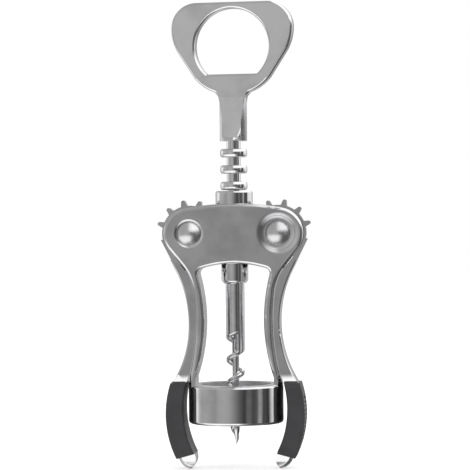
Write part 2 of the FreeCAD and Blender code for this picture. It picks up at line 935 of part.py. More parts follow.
def wing(side, name):
    lever = new_body(f"lever_{name}")
    arm_sketch = outline(
        new_sketch(lever, "XZ_Plane", f"arm_outline_{name}"),
        sided_point(side, hook),
        sided(side, arm_steps),
    )
    hold(arm_sketch, "DistanceY", 5, 3, read("waist_height") - pivot_z)
    lean = 90 - side * flank_angle
    held = arm_sketch.addConstraint(
        Sketcher.Constraint("Angle", 7, math.radians(lean.value))
    )
    bind(arm_sketch, f"Constraints[{held}]", lean)
    doc.recompute()
    arm = pad(lever, f"arm_{name}", arm_sketch, read("arm_depth"))
    half_arm = read("arm_depth") / 2
    arm_half = half_arm.value
    arm_end = arm_end_x.value
    grip_width = arm_end - grip_x.value

    def arm_face(edge):
        on_face = at_depth(edge, arm_half) or at_depth(edge, -arm_half)
        box = edge.BoundBox
        reach = max(abs(box.XMin), abs(box.XMax))
        return on_face and edge.Length > 2 * grip_width and reach > 0.6 * arm_end

    soften(lever, f"arm_edges_{name}", arm, read("arm_edge"), arm_face)

    lip_top = arm_low + read("arm_lip_height")
    for end, way in (("front", -1), ("back", 1)):
        lip_sketch = outline(
            new_sketch(lever, "YZ_Plane", f"{end}_lip_{name}"),
            (way * (half_arm + 1), lip_top),
            [
                ((way * half_arm, lip_top),),
                ((way * (half_arm - read("arm_lip_depth")), arm_low),),
                ((way * (half_arm - read("arm_lip_depth")), arm_low - 1),),
                ((way * (half_arm + 1), arm_low - 1),),
                ((way * (half_arm + 1), lip_top),),
            ],
        )
        pocket(lever, f"{end}_lip_cut_{name}", lip_sketch)

    plate_half = read("sector_width") / 2
    front_step = new_sketch(lever, "XZ_Plane", f"front_step_{name}", plate_half)
    circle(front_step, (0, 0), read("step_radius"))
    pocket(lever, f"front_cut_{name}", front_step, None, False, True)
    back_step = new_sketch(lever, "XZ_Plane", f"back_step_{name}", -plate_half)
    circle(back_step, (0, 0), read("step_radius"))
    pocket(lever, f"back_cut_{name}", back_step, None, False, False)

    disc = new_sketch(lever, "XZ_Plane", f"sector_disc_{name}")
    circle(disc, (0, 0), tooth_root)
    pad(lever, f"sector_{name}", disc, read("sector_width"))

    half_root = read("tooth_root_width") / 2
    half_tip = read("tooth_tip_width") / 2
    angle = read("first_tooth_angle").value
    turn = 90 + angle if side > 0 else -90 - angle
    tooth_sketch = new_sketch(lever, "XZ_Plane", f"tooth_outline_{name}", None, 0)
    tooth_sketch.AttachmentOffset = Placement(Vector(0, 0, 0), Rotation(Vector(0, 0, 1), turn))
    way = 1 if side > 0 else -1
    bind(
        tooth_sketch,
        "AttachmentOffset.Rotation.Angle",
        way * (90 + read("first_tooth_angle")),
    )
    doc.recompute()
    outline(
        tooth_sketch,
        (-half_root, tooth_root - 1),
        [
            ((-half_root, tooth_root),),
            ((-half_tip, tooth_tip - half_tip),),
            ((half_tip, tooth_tip - half_tip), -half_tip * 1.001),
            ((half_root, tooth_root),),
            ((half_root, tooth_root - 1),),
            ((-half_root, tooth_root - 1),),
        ],
    )
    tooth = pad(lever, f"tooth_{name}", tooth_sketch, read("sector_width"))
    teeth = lever.newObject("PartDesign::PolarPattern", f"teeth_{name}")
    teeth.Originals = [tooth]
    teeth.Axis = (disc, ["N_Axis"])
    teeth.Reversed = side > 0
    teeth.Occurrences = int(read("sector_teeth").value)
    teeth.Angle = (tooth_step * (read("sector_teeth") - 1)).value
    bind(teeth, "Occurrences", read("sector_teeth"))
    bind(teeth, "Angle", tooth_step * (read("sector_teeth") - 1))
    lever.Tip = teeth
    doc.recompute()

    hub_sketch = new_sketch(lever, "XZ_Plane", f"hub_circle_{name}")
    circle(hub_sketch, (0, 0), read("hub_radius"))
    pad(lever, f"hub_{name}", hub_sketch, hub_half * 2)

    tip_point = (grip_x - read("tip_width"), -read("tip_z"))
    tip_sketch = outline(
        new_sketch(lever, "XZ_Plane", f"tip_outline_{name}"),
        sided_point(side, heel),
        sided(
            side,
            [
                (tip_point, -read("tip_heel_radius")),
                (toe, -read("tip_toe_radius")),
                (heel,),
            ],
        ),
    )
    pad(lever, f"tip_{name}", tip_sketch, read("tip_depth"))

    core_sketch = outline(
        new_sketch(lever, "XZ_Plane", f"core_outline_{name}"),
        sided_point(side, core_top),
        sided(side, core_steps),
    )
    pad(lever, f"core_{name}", core_sketch, read("core_depth"))

    bore_circle = new_sketch(lever, "XZ_Plane", f"pivot_bore_{name}")
    circle(bore_circle, (0, 0), read("pin_radius") + read("running_gap"))
    bored = pocket(lever, f"bore_{name}", bore_circle)
    tip_half = read("tip_depth").value / 2
    tip_bow = read("tip_heel_radius").value

    def tip_edge(edge):
        on_face = at_depth(edge, tip_half) or at_depth(edge, -tip_half)
        return on_face and abs(getattr(edge.Curve, "Radius", 0) - tip_bow) < 0.01

    soften(lever, f"tip_edges_{name}", bored, read("tip_edge"), tip_edge, "Chamfer")

    grip = new_body(f"grip_{name}")
    grip_sketch = outline(
        new_sketch(grip, "XZ_Plane", f"grip_outline_{name}"),
        sided_point(side, grip_top),
        sided(
            side,
            [
                (heel, -read("grip_bow")),
                (toe,),
                (bend, read("grip_toe_bow")),
                ((grip_x, arm_low),),
                (grip_top,),
            ],
        ),
    )
    grip_pad = pad(grip, f"grip_body_{name}", grip_sketch, read("grip_depth"))
    grip_half = read("grip_depth") / 2
    half = grip_half.value
    outer_bow = read("grip_bow")

    def inner_face_edge(edge):
        on_face = at_depth(edge, half) or at_depth(edge, -half)
        bow = getattr(edge.Curve, "Radius", 0)
        return on_face and edge.Length > 9 and abs(bow - outer_bow.value) > 0.01

    soften(grip, f"grip_bevel_{name}", grip_pad, read("grip_bevel"), inner_face_edge, "Chamfer")
    grip_core = outline(
        new_sketch(grip, "XZ_Plane", f"grip_core_{name}"),
        sided_point(side, core_top),
        sided(side, core_steps),
    )
    pocket(grip, f"core_hole_{name}", grip_core, read("core_depth"))

    # The outer side is crowned: a cut spun about the bow's own centre.
    crown = read("grip_crown_depth")
    crown_ball = (grip_half * grip_half + crown * crown) / (2 * crown)
    edge_reach = outer_bow - crown
    far_reach = outer_bow + 3
    crown_sketch = new_sketch(grip, "XY_Plane", f"crown_{name}", grip_centre[1])
    bind(crown_sketch, "AttachmentOffset.Base.x", side * grip_centre[0])
    doc.recompute()
    outline(
        crown_sketch,
        (side * edge_reach, -grip_half),
        [
            ((side * edge_reach, grip_half), side * crown_ball),
            ((side * edge_reach, grip_half + 1),),
            ((side * far_reach, grip_half + 1),),
            ((side * far_reach, -grip_half - 1),),
            ((side * edge_reach, -grip_half - 1),),
            ((side * edge_reach, -grip_half),),
        ],
    )
    spin(grip, "Groove", f"crown_cut_{name}", crown_sketch)

    # Ribs stand on the crown, each a short turn about the same centre.
    rib_at = on_circle(grip_centre, outer_bow, -read("rib_first_z"))
    rib_lean = arctangent((rib_at[1] - grip_centre[1]) / (rib_at[0] - grip_centre[0]))
    rib_base = edge_reach - 0.5
    rib_sketch = new_sketch(grip, "XY_Plane", f"rib_profile_{name}", grip_centre[1])
    rib_sketch.AttachmentOffset = Placement(
        Vector(side * grip_centre[0].value, 0, grip_centre[1].value),
        Rotation(Vector(0, 1, 0), -side * rib_lean.value),
    )
    bind(rib_sketch, "AttachmentOffset.Base.x", side * grip_centre[0])
    bind(rib_sketch, "AttachmentOffset.Rotation.Angle", -side * rib_lean)
    doc.recompute()
    rib_height = read("rib_height")
    outline(
        rib_sketch,
        (side * (edge_reach + rib_height), -grip_half),
        [
            ((side * (edge_reach + rib_height), grip_half), side * crown_ball),
            ((side * rib_base, grip_half),),
            ((side * rib_base, -grip_half),),
            ((side * (edge_reach + rib_height), -grip_half),),
        ],
    )
    rib = feature(grip, "Revolution", f"rib_{name}", rib_sketch)
    rib.ReferenceAxis = (rib_sketch, ["V_Axis"])
    rib_turn = read("rib_width") / outer_bow * (180 / math.pi)
    rib.Angle = rib_turn.value
    rib.Midplane = True
    bind(rib, "Angle", rib_turn)
    doc.recompute()
    ribs = grip.newObject("PartDesign::PolarPattern", f"ribs_{name}")
    ribs.Originals = [rib]
    ribs.Axis = (rib_sketch, ["V_Axis"])
    ribs.Reversed = side < 0
    ribs.Occurrences = int(read("rib_count").value)
    sweep = (read("rib_count") - 1) * read("rib_spacing") / outer_bow * (180 / math.pi)
    ribs.Angle = sweep.value
    bind(ribs, "Occurrences", read("rib_count"))
    bind(ribs, "Angle", sweep)
    grip.Tip = ribs
    doc.recompute()

    pin = new_body(f"pivot_pin_{name}")
    pin_sketch = outline(
        new_sketch(pin, "XY_Plane", f"pin_profile_{name}"),
        (0, -(recess_floor + read("dome_rise"))),
        [
            ((read("dome_radius"), -recess_floor), dome_ball),
            ((read("pin_radius"), -recess_floor),),
            ((read("pin_radius"), recess_floor),),
            ((read("tail_radius"), recess_floor),),
            ((read("tail_radius"), recess_floor + read("tail_length")),),
            ((0, recess_floor + read("tail_length")),),
            ((0, -(recess_floor + read("dome_rise"))),),
        ],
    )
    spin(pin, "Revolution", f"pin_{name}", pin_sketch)

    cap = new_body(f"pin_cap_{name}")
    cap_sketch = outline(
        new_sketch(cap, "XY_Plane", f"cap_profile_{name}"),
        (read("tail_radius"), recess_floor),
        [
            ((read("dome_radius"), recess_floor),),
            ((0, recess_floor + read("dome_rise")), dome_ball),
            ((0, recess_floor + read("tail_length")),),
            ((read("tail_radius"), recess_floor + read("tail_length")),),
            ((read("tail_radius"), recess_floor),),
        ],
    )
    spin(cap, "Revolution", f"cap_{name}", cap_sketch)

    for piece in (lever, grip, pin, cap):
        piece.Placement = Placement(
            Vector(side * pivot_x.value, 0, pivot_z.value), Rotation()
        )
        bind(piece, "Placement.Base.x", side * pivot_x)
        bind(piece, "Placement.Base.z", pivot_z)
    return [lever, grip, pin, cap]


pieces = [frame, guide_bush, spindle, worm]
for piece in (spindle, worm):
    piece.Placement = Placement(
        Vector(0, 0, 0), Rotation(Vector(0, 0, 1), read("spindle_turn").value)
    )
    bind(piece, "Placement.Rotation.Angle", read("spindle_turn"))
pieces += wing(-1, "left")
pieces += wing(1, "right")
doc.recompute()

for item in doc.Objects:
    if "Invalid" in item.State or "Error" in item.State:
        raise RuntimeError(f"{item.Label}: {item.State}")
for piece in pieces:
    if piece.Shape.isNull() or not piece.Shape.isValid() or len(piece.Shape.Solids) != 1:
        raise RuntimeError(f"{piece.Label} has no sound single solid")

os.makedirs("parts", exist_ok=True)
for piece in pieces:
    piece.Shape.exportStep(f"parts/{piece.Label}.step")
    print(piece.Label, round(piece.Shape.Volume, 1))
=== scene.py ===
import math
import bmesh
import bpy
from mathutils import Matrix, Vector


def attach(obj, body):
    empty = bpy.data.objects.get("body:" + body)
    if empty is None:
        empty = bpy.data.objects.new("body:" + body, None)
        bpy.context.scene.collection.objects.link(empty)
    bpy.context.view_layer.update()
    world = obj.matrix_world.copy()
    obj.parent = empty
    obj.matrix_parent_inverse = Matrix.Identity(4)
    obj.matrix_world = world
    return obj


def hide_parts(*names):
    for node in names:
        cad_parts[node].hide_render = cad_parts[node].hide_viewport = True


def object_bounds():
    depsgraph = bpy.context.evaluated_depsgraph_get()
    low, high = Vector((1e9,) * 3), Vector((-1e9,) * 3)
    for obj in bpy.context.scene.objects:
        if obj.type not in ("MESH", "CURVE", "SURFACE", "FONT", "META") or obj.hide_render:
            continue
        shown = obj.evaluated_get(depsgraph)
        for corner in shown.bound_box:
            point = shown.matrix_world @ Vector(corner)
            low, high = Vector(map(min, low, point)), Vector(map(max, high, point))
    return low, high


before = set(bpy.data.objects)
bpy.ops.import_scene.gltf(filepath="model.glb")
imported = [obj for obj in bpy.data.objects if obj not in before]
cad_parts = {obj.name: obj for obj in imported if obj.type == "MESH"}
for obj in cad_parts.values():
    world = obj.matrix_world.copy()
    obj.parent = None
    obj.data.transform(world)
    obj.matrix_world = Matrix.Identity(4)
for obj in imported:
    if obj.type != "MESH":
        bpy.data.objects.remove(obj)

cadLow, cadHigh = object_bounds()
mm = 0.001
mergeMm = 0.0008  # corners nearer than this are one corner
print("frame loaded, CAD box", [round(v, 4) for v in (*cadLow, *cadHigh)])


def linearColour(hexText):
    channels = [int(hexText[i:i + 2], 16) / 255 for i in (1, 3, 5)]
    linear = [c / 12.92 if c <= 0.04045 else ((c + 0.055) / 1.055) ** 2.4 for c in channels]
    return (*linear, 1.0)


def addNode(tree, kind, settings=None, inputs=None):
    node = tree.nodes.new(kind)
    for name, value in (settings or {}).items():
        setattr(node, name, value)
    for name, value in (inputs or {}).items():
        if isinstance(value, bpy.types.NodeSocket):
            tree.links.new(value, node.inputs[name])
        else:
            node.inputs[name].default_value = value
    return node


def fillRamp(node, stops):
    elements = node.color_ramp.elements
    while len(elements) > 1:
        elements.remove(elements[-1])
    elements[0].position = stops[0][0]
    elements[0].color = stops[0][1]
    for position, colour in stops[1:]:
        elements.new(position).color = colour


def greyStops(pairs):
    return [(position, (level, level, level, 1.0)) for position, level in pairs]


def newMaterial(name):
    material = bpy.data.materials.new(name)
    material.use_nodes = True
    material.node_tree.nodes.clear()
    return material, material.node_tree


# A shallow dish round each rivet, where the head was pressed as the rivet was set.
# The right one went deeper and wider.
rivetDishes = {"left": {"atMm": (-17.0, 73.0), "fromMm": 4.6, "toMm": 5.7, "depthMm": 0.16},
               "right": {"atMm": (17.0, 73.0), "fromMm": 5.0, "toMm": 8.4, "depthMm": 0.42}}


def rivetDish(tree, place, dish, normal):
    across = addNode(tree, "ShaderNodeVectorMath", {"operation": "MULTIPLY"}, {0: place})
    across.inputs[1].default_value = (1.0, 0.0, 1.0)
    away = addNode(tree, "ShaderNodeVectorMath", {"operation": "DISTANCE"}, {0: across.outputs[0]})
    away.inputs[1].default_value = (dish["atMm"][0] * mm, 0.0, dish["atMm"][1] * mm)
    rise = addNode(tree, "ShaderNodeMapRange", {"interpolation_type": "SMOOTHSTEP"}, {
        "Value": away.outputs["Value"], "From Min": dish["fromMm"] * mm, "From Max": dish["toMm"] * mm})
    pressed = addNode(tree, "ShaderNodeBump", inputs={
        "Strength": 1.0, "Distance": dish["depthMm"] * mm,
        "Height": rise.outputs["Result"], "Normal": normal})
    return pressed.outputs["Normal"]


# Nickel-chrome plate on a die casting, tumbled and buffed: a mirror that wavers a little,
# with hairlines from handling and a faint haze where the buff reached less.
chromeLook = {
    "colour": "#DCDCDD", "haze": "#C9C9CB", "roughness": 0.045, "roughnessHaze": 0.13,
    "waveMm": 9.0, "waveHeightMm": 0.045, "hairlineMm": 0.5, "hairlineHeightMm": 0.0009,
    "hairlineTurn": (0.3, 0.2, 0.5), "hairlineStretch": (1.0, 1.0, 0.06),
    "hazeMm": 14.0, "hazeFrom": 0.42, "hazeFull": 0.72,
}


def chromePlate(name, look):
    material, tree = newMaterial(name)
    place = addNode(tree, "ShaderNodeTexCoord").outputs["Object"]
    haze = addNode(tree, "ShaderNodeTexNoise", inputs={
        "Vector": place, "Scale": 1 / (look["hazeMm"] * mm), "Detail": 3.0, "Roughness": 0.55})
    hazeShare = addNode(tree, "ShaderNodeMapRange", {"interpolation_type": "SMOOTHSTEP"}, {
        "Value": haze.outputs["Fac"], "From Min": look["hazeFrom"], "From Max": look["hazeFull"]})
    colour = addNode(tree, "ShaderNodeMix", {"data_type": "RGBA"}, {"Factor": hazeShare.outputs["Result"]})
    colour.inputs[6].default_value = linearColour(look["colour"])
    colour.inputs[7].default_value = linearColour(look["haze"])
    roughness = addNode(tree, "ShaderNodeMapRange", inputs={
        "Value": hazeShare.outputs["Result"],
        "To Min": look["roughness"], "To Max": look["roughnessHaze"]})
    wave = addNode(tree, "ShaderNodeTexNoise", inputs={
        "Vector": place, "Scale": 1 / (look["waveMm"] * mm), "Detail": 1.0, "Roughness": 0.4})
    waveBump = addNode(tree, "ShaderNodeBump", inputs={
        "Strength": 1.0, "Distance": look["waveHeightMm"] * mm, "Height": wave.outputs["Fac"]})
    stretched = addNode(tree, "ShaderNodeMapping", inputs={
        "Vector": place, "Rotation": look["hairlineTurn"], "Scale": look["hairlineStretch"]})
    hairline = addNode(tree, "ShaderNodeTexNoise", inputs={
        "Vector": stretched.outputs["Vector"], "Scale": 1 / (look["hairlineMm"] * mm),
        "Detail": 2.0, "Roughness": 0.6})
    hairlineBump = addNode(tree, "ShaderNodeBump", inputs={
        "Strength": 1.0, "Distance": look["hairlineHeightMm"] * mm,
        "Height": hairline.outputs["Fac"], "Normal": waveBump.outputs["Normal"]})
    normal = hairlineBump.outputs["Normal"]
    for dish in look.get("dishes", {}).values():
        normal = rivetDish(tree, place, dish, normal)
    shader = addNode(tree, "ShaderNodeBsdfPrincipled", inputs={
        "Base Color": colour.outputs[2], "Metallic": 1.0,
        "Roughness": roughness.outputs["Result"], "Normal": normal})
    addNode(tree, "ShaderNodeOutputMaterial", inputs={"Surface": shader.outputs["BSDF"]})
    return material


# Injection-moulded ABS for the grips: charcoal, with a spark-eroded texture that keeps it dull and
# that a hand has polished a little in places.
gripLook = {
    "colour": "#303032", "worn": "#3C3C3E", "roughness": 0.46, "roughnessWorn": 0.34,
    "grainMm": 0.35, "grainHeightMm": 0.018, "grainStrength": 0.8, "grainSmoothness": 0.6,
    "wearMm": 9.0, "wearFrom": 0.4, "wearFull": 0.7, "ior": 1.54,
}


def mouldedPlastic(name, look):
    material, tree = newMaterial(name)
    place = addNode(tree, "ShaderNodeTexCoord").outputs["Object"]
    wear = addNode(tree, "ShaderNodeTexNoise", inputs={
        "Vector": place, "Scale": 1 / (look["wearMm"] * mm), "Detail": 4.0, "Roughness": 0.6})
    wearShare = addNode(tree, "ShaderNodeMapRange", {"interpolation_type": "SMOOTHSTEP"}, {
        "Value": wear.outputs["Fac"], "From Min": look["wearFrom"], "From Max": look["wearFull"]})
    colour = addNode(tree, "ShaderNodeMix", {"data_type": "RGBA"}, {"Factor": wearShare.outputs["Result"]})
    colour.inputs[6].default_value = linearColour(look["colour"])
    colour.inputs[7].default_value = linearColour(look["worn"])
    roughness = addNode(tree, "ShaderNodeMapRange", inputs={
        "Value": wearShare.outputs["Result"],
        "To Min": look["roughness"], "To Max": look["roughnessWorn"]})
    grain = addNode(tree, "ShaderNodeTexVoronoi", {"feature": "SMOOTH_F1"}, {
        "Vector": place, "Scale": 1 / (look["grainMm"] * mm), "Smoothness": look["grainSmoothness"]})
    grainBump = addNode(tree, "ShaderNodeBump", inputs={
        "Strength": look["grainStrength"], "Distance": look["grainHeightMm"] * mm,
        "Height": grain.outputs["Distance"]})
    shader = addNode(tree, "ShaderNodeBsdfPrincipled", inputs={
        "Base Color": colour.outputs[2], "Roughness": roughness.outputs["Result"],
        "IOR": look["ior"], "Normal": grainBump.outputs["Normal"]})
    addNode(tree, "ShaderNodeOutputMaterial", inputs={"Surface": shader.outputs["BSDF"]})
    return material


castChrome = chromePlate("chromePlatedZinc", chromeLook)
yokeChrome = chromePlate("chromePlatedYoke", dict(chromeLook, dishes=rivetDishes, waveMm=7.0))
# The same plate where no buffing wheel reaches: it only glows softly.
satinChrome = chromePlate("satinUnbuffedChrome", dict(
    chromeLook, colour="#E4E4E5", haze="#D6D6D8", roughness=0.34, roughnessHaze=0.42))
# Rivet heads, spun over by a tool that leaves a fine satin, so that their highlights are broad.
domeChrome = chromePlate("satinRivetHead", dict(
    chromeLook, colour="#D3D3D4", haze="#C8C8CA", roughness=0.31, roughnessHaze=0.37))
# Plated steel wire of the worm: brighter than the casting, uneven where it was twisted.
wormChrome = chromePlate("platedSteelWorm", dict(
    chromeLook, colour="#E0E0E1", haze="#CBCBCD", roughness=0.08, roughnessHaze=0.18,
    waveMm=2.5, waveHeightMm=0.05))
gripPlastic = mouldedPlastic("charcoalAbs", gripLook)
# Natural acetal of the bush: milky white and slightly waxy, with hardly any grain.
bushPlastic = mouldedPlastic("naturalAcetal", dict(
    gripLook, colour="#DAD8D0", worn="#CFCCC2", roughness=0.4, roughnessWorn=0.32,
    grainMm=0.8, grainHeightMm=0.004, ior=1.48))
print("finishes made")


def takeSolid(node):
    shape = bmesh.new()
    shape.from_mesh(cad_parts[node].data)
    bmesh.ops.remove_doubles(shape, verts=shape.verts, dist=mergeMm * mm)
    return shape


# Rounds the edges that turn by more than the given angle and whose middle, in mm, passes the test.
# Thin triangles beside an edge hold its round back: 0.4 comes out near 0.23, and 0.12 under 0.03.
def roundEdges(shape, width, where=None, degrees=50):
    bare = [edge for edge in shape.edges
            if len(edge.link_faces) == 2 and edge.calc_face_angle(0) > math.radians(degrees)
            and (where is None or where((edge.verts[0].co + edge.verts[1].co) / 2 / mm))]
    bmesh.ops.bevel(shape, geom=bare, offset=width * mm, offset_type="OFFSET", segments=2,
                    profile=0.5, affect="EDGES", clamp_overlap=True, material=-1)
    bmesh.ops.remove_doubles(shape, verts=shape.verts, dist=mergeMm * mm)


# Joins the CAD's triangles that lie in one flat.
def joinFlats(shape, degrees=0.4):
    bmesh.ops.dissolve_limit(shape, angle_limit=math.radians(degrees), verts=shape.verts, edges=shape.edges)


def cutAcross(shape, height):
    bmesh.ops.bisect_plane(shape, geom=shape.verts[:] + shape.edges[:] + shape.faces[:],
                           plane_co=(0, 0, height * mm), plane_no=(0, 0, 1), dist=1e-7)


def placePiece(name, shape, settings, sharpDegrees=38):
    for face in shape.faces:
        face.smooth = True
    mesh = bpy.data.meshes.new(name)
    shape.to_mesh(mesh)
    shape.free()
    mesh.set_sharp_from_angle(angle=math.radians(sharpDegrees))
    for finish in settings["finishes"]:
        mesh.materials.append(finish)
    piece = bpy.data.objects.new(name, mesh)
    bpy.context.scene.collection.objects.link(piece)
    weighted = piece.modifiers.new("evenNormals", "WEIGHTED_NORMAL")
    weighted.mode = "FACE_AREA"
    weighted.weight = 80  # a large flat keeps its own direction beside a small round
    weighted.keep_sharp = True
    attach(piece, settings["body"])
    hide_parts(settings["node"])
    print("piece", name, len(mesh.polygons), "faces")


# Yoke, struts and bell: one casting. Its bare edges stay nearly sharp, and the inside of the bell
# is satin.
yokeAndBell = {"node": "frame", "body": "body", "slot": "chrome", "finishes": [yokeChrome, satinChrome],
               "edge": 0.12, "boreRadius": 16.0, "boreTop": 14.99}


def makeYoke():
    shape = takeSolid(yokeAndBell["node"])
    joinFlats(shape)
    roundEdges(shape, yokeAndBell["edge"])
    for face in shape.faces:
        middle = face.calc_center_median() / mm
        if math.hypot(middle.x, middle.y) < yokeAndBell["boreRadius"] and middle.z < yokeAndBell["boreTop"]:
            face.material_index = 1
    placePiece("yokeAndBell", shape, yokeAndBell)


makeYoke()

# Handle casting: opener loop, neck and ring rack. The rings are crowned, as the cast ones are, and
# the hollows beside the neck's flats are satin.
handleAndRack = {
    "node": "spindle", "body": "spindle", "slot": "chrome", "finishes": [castChrome, satinChrome],
    "edge": 0.12, "neckEndFrom": 107.0, "neckEndTo": 112.0,
    "satinFrom": 109.7, "satinTo": 124.5, "satinTurn": 0.1,
    "ringFirst": 72.33, "ringPitch": 6.2832, "rings": 6, "ringHalf": 1.6, "ringReach": 1.65, "ringCore": 3.6,
    "crown": 0.42, "crownCuts": (-1.05, -0.6, 0.0, 0.6, 1.05),
}


def makeHandle():
    form = handleAndRack
    shape = takeSolid(form["node"])
    joinFlats(shape)
    roundEdges(shape, form["edge"], lambda at: at.z < form["neckEndFrom"] or at.z > form["neckEndTo"])
    for face in shape.faces:
        height = face.calc_center_median().z / mm
        if form["satinFrom"] < height < form["satinTo"] and abs(face.normal.x) > form["satinTurn"]:
            face.material_index = 1
    for count in range(form["rings"]):
        middle = form["ringFirst"] + count * form["ringPitch"]
        for step in form["crownCuts"]:
            cutAcross(shape, middle + step)
        for vert in shape.verts:
            rise = abs(vert.co.z / mm - middle)
            around = math.hypot(vert.co.x, vert.co.y) / mm
            if rise < form["ringReach"] and around > form["ringCore"]:
                shrink = 1 - form["crown"] * (rise / form["ringHalf"]) ** 2 / around
                vert.co.x *= shrink
                vert.co.y *= shrink
    placePiece("handleAndRack", shape, form)


makeHandle()

# Worm: a plain shank that a rounded thread leaves in one turn, down to a ground point. An upright line
# of points, one pitch long, is spun up the axis as a screw, and each point is then set in or out.
worm = {
    "node": "worm", "body": "spindle", "slot": "steel", "finishes": [wormChrome],
    "radius": 3.62, "core": 1.35, "pitch": 8.9, "threadAtRight": 19.7, "half": 1.3, "least": 0.12,
    "point": -8.3, "taper": 11.0, "taperPower": 0.8, "coreTaper": 5.5, "top": 62.5,
    "fluteEnd": 5.2, "fluteFade": 0.9, "columnDegrees": 7.5,
    "threadSteps": (-1.0, -0.93, -0.8, -0.55, -0.25, 0.0, 0.25, 0.55, 0.8, 0.93, 1.0),
    "fluteSteps": (0.1, 0.3, 0.5, 0.7, 0.9, 1.0), "mergeMm": 0.02,
}


def wormRadius(turn, offset, height):
    filled = min(max((turn - worm["fluteEnd"] + worm["fluteFade"]) / worm["fluteFade"], 0), 1)
    filled = filled * filled * (3 - 2 * filled)
    share = max(0.0, 1 - abs(offset / worm["half"]) ** 4) ** 0.5 if abs(offset) <= worm["half"] else 0.0
    share = max(share, filled if offset >= 0 else 0.0, filled if turn - math.tau > worm["fluteEnd"] else 0.0)
    rise = height - worm["point"]
    outer = max(worm["least"], worm["radius"] * min(1.0, (rise / worm["taper"]) ** worm["taperPower"]))
    inner = min(outer, max(worm["least"], worm["core"] * min(1.0, rise / worm["coreTaper"])))
    return inner + (outer - inner) * share


def makeWorm():
    pitch, half = worm["pitch"], worm["half"]
    step = math.radians(worm["columnDegrees"])
    first = math.floor((worm["point"] - pitch - worm["threadAtRight"]) / pitch * math.tau / step)
    last = math.ceil((worm["top"] - worm["threadAtRight"]) / pitch * math.tau / step) + 2
    offsets = [half * k for k in worm["threadSteps"]]
    offsets += [half + (pitch - 2 * half) * k for k in worm["fluteSteps"]]
    shape = bmesh.new()
    offsetOf = shape.verts.layers.float.new("offset")
    start = worm["threadAtRight"] + pitch * first * step / math.tau
    column = []
    for offset in offsets:
        column.append(shape.verts.new((math.cos(first * step) * mm, math.sin(first * step) * mm,
                                       (start + offset) * mm)))
        column[-1][offsetOf] = offset
    for below, above in zip(column, column[1:]):
        shape.edges.new((below, above))
    bmesh.ops.spin(shape, geom=shape.verts[:] + shape.edges[:], cent=(0, 0, 0), axis=(0, 0, 1),
                   dvec=(0, 0, pitch * step / math.tau * mm), angle=(last - first) * step,
                   steps=last - first, use_merge=False, use_duplicate=False)
    for vert in shape.verts:
        offset = vert[offsetOf]
        climbed = vert.co.z / mm - offset - worm["threadAtRight"]
        turn = round(climbed / pitch * math.tau / step) * step
        height = worm["threadAtRight"] + pitch * turn / math.tau + offset
        height = min(max(height, worm["point"]), worm["top"])
        around = wormRadius(turn, offset, height)
        vert.co = (around * math.cos(turn) * mm, around * math.sin(turn) * mm, height * mm)
    bmesh.ops.remove_doubles(shape, verts=shape.verts, dist=worm["mergeMm"] * mm)
    bmesh.ops.holes_fill(shape, edges=shape.edges, sides=0)
    bmesh.ops.recalc_face_normals(shape, faces=shape.faces)
    placePiece("worm", shape, worm, sharpDegrees=50)


makeWorm()

# Levers: arm, toothed sector and tip, one casting each. The shoulder is the step behind the head, a
# part circle about the pivot, and the tip's faces slope in below the grip.
leverForm = {
    "slot": "chrome", "finishes": [castChrome], "edge": 0.12, "pivot": (17.0, 73.0),
    "shoulder": 12.5, "shoulderReach": 0.5, "shoulderTop": 70.0, "shoulderEdge": 0.4,
    "tipTop": -11.0, "tipRun": 3.4, "tipSlope": 0.17,
}
levers = {
    "leverLeft": {"node": "lever_left", "body": "wing_left"},
    "leverRight": {"node": "lever_right", "body": "wing_right"},
}


def onShoulder(at):
    away = math.hypot(abs(at.x) - leverForm["pivot"][0], at.z - leverForm["pivot"][1])
    return abs(away - leverForm["shoulder"]) < leverForm["shoulderReach"] and at.z < leverForm["shoulderTop"]


def makeLever(name, settings):
    shape = takeSolid(settings["node"])
    joinFlats(shape)
    roundEdges(shape, settings["shoulderEdge"], onShoulder)
    for height in (settings["tipTop"], settings["tipTop"] - settings["tipRun"]):
        cutAcross(shape, height)
    for vert in shape.verts:
        drop = min(settings["tipTop"] - vert.co.z / mm, settings["tipRun"])
        if drop > 0:
            inward = min(abs(vert.co.y), drop * settings["tipSlope"] * mm)
            vert.co.y -= math.copysign(inward, vert.co.y)
    roundEdges(shape, settings["edge"])
    placePiece(name, shape, settings)


for leverName, leverSettings in levers.items():
    makeLever(leverName, dict(leverForm, **leverSettings))

# Grips: charcoal shells with a square back, across which run shallow grooves between plain margins.
# The outline is drawn at the front and extruded back in steps, and each step takes its own outline.
gripForm = {
    "slot": "grip", "finishes": [gripPlastic], "depth": 14.0, "top": 15.6,
    "outerCentre": (-11.987, 3.696), "outerRadius": 38.85, "outerSlant": 0.022, "heel": -13.4,
    "innerCentre": (-19.1, 5.88), "innerRadius": 38.85, "innerSlant": 0.025, "toe": -11.5,
    "outerRound": 0.45, "innerRound": 0.7, "roundSteps": (0.0, 0.04, 0.16, 0.35, 0.6, 1.0),
    "grooves": 11, "groovePitch": 1.62, "grooveDepth": 0.6, "grooveMiddle": 1.2,
    "grooveFrom": -6.4, "grooveTo": 5.6, "grooveFade": 0.1, "outerPoints": 181, "innerPoints": 41,
}
grips = {
    "gripLeft": {"node": "grip_left", "body": "wing_left", "side": -1},
    "gripRight": {"node": "grip_right", "body": "wing_right", "side": 1},
}


def gripArc(centre, radius, fromHeight, toHeight, points):
    fromAngle = math.asin((fromHeight - centre[1]) / radius)
    toAngle = math.asin((toHeight - centre[1]) / radius)
    return [fromAngle + (toAngle - fromAngle) * k / (points - 1) for k in range(points)]


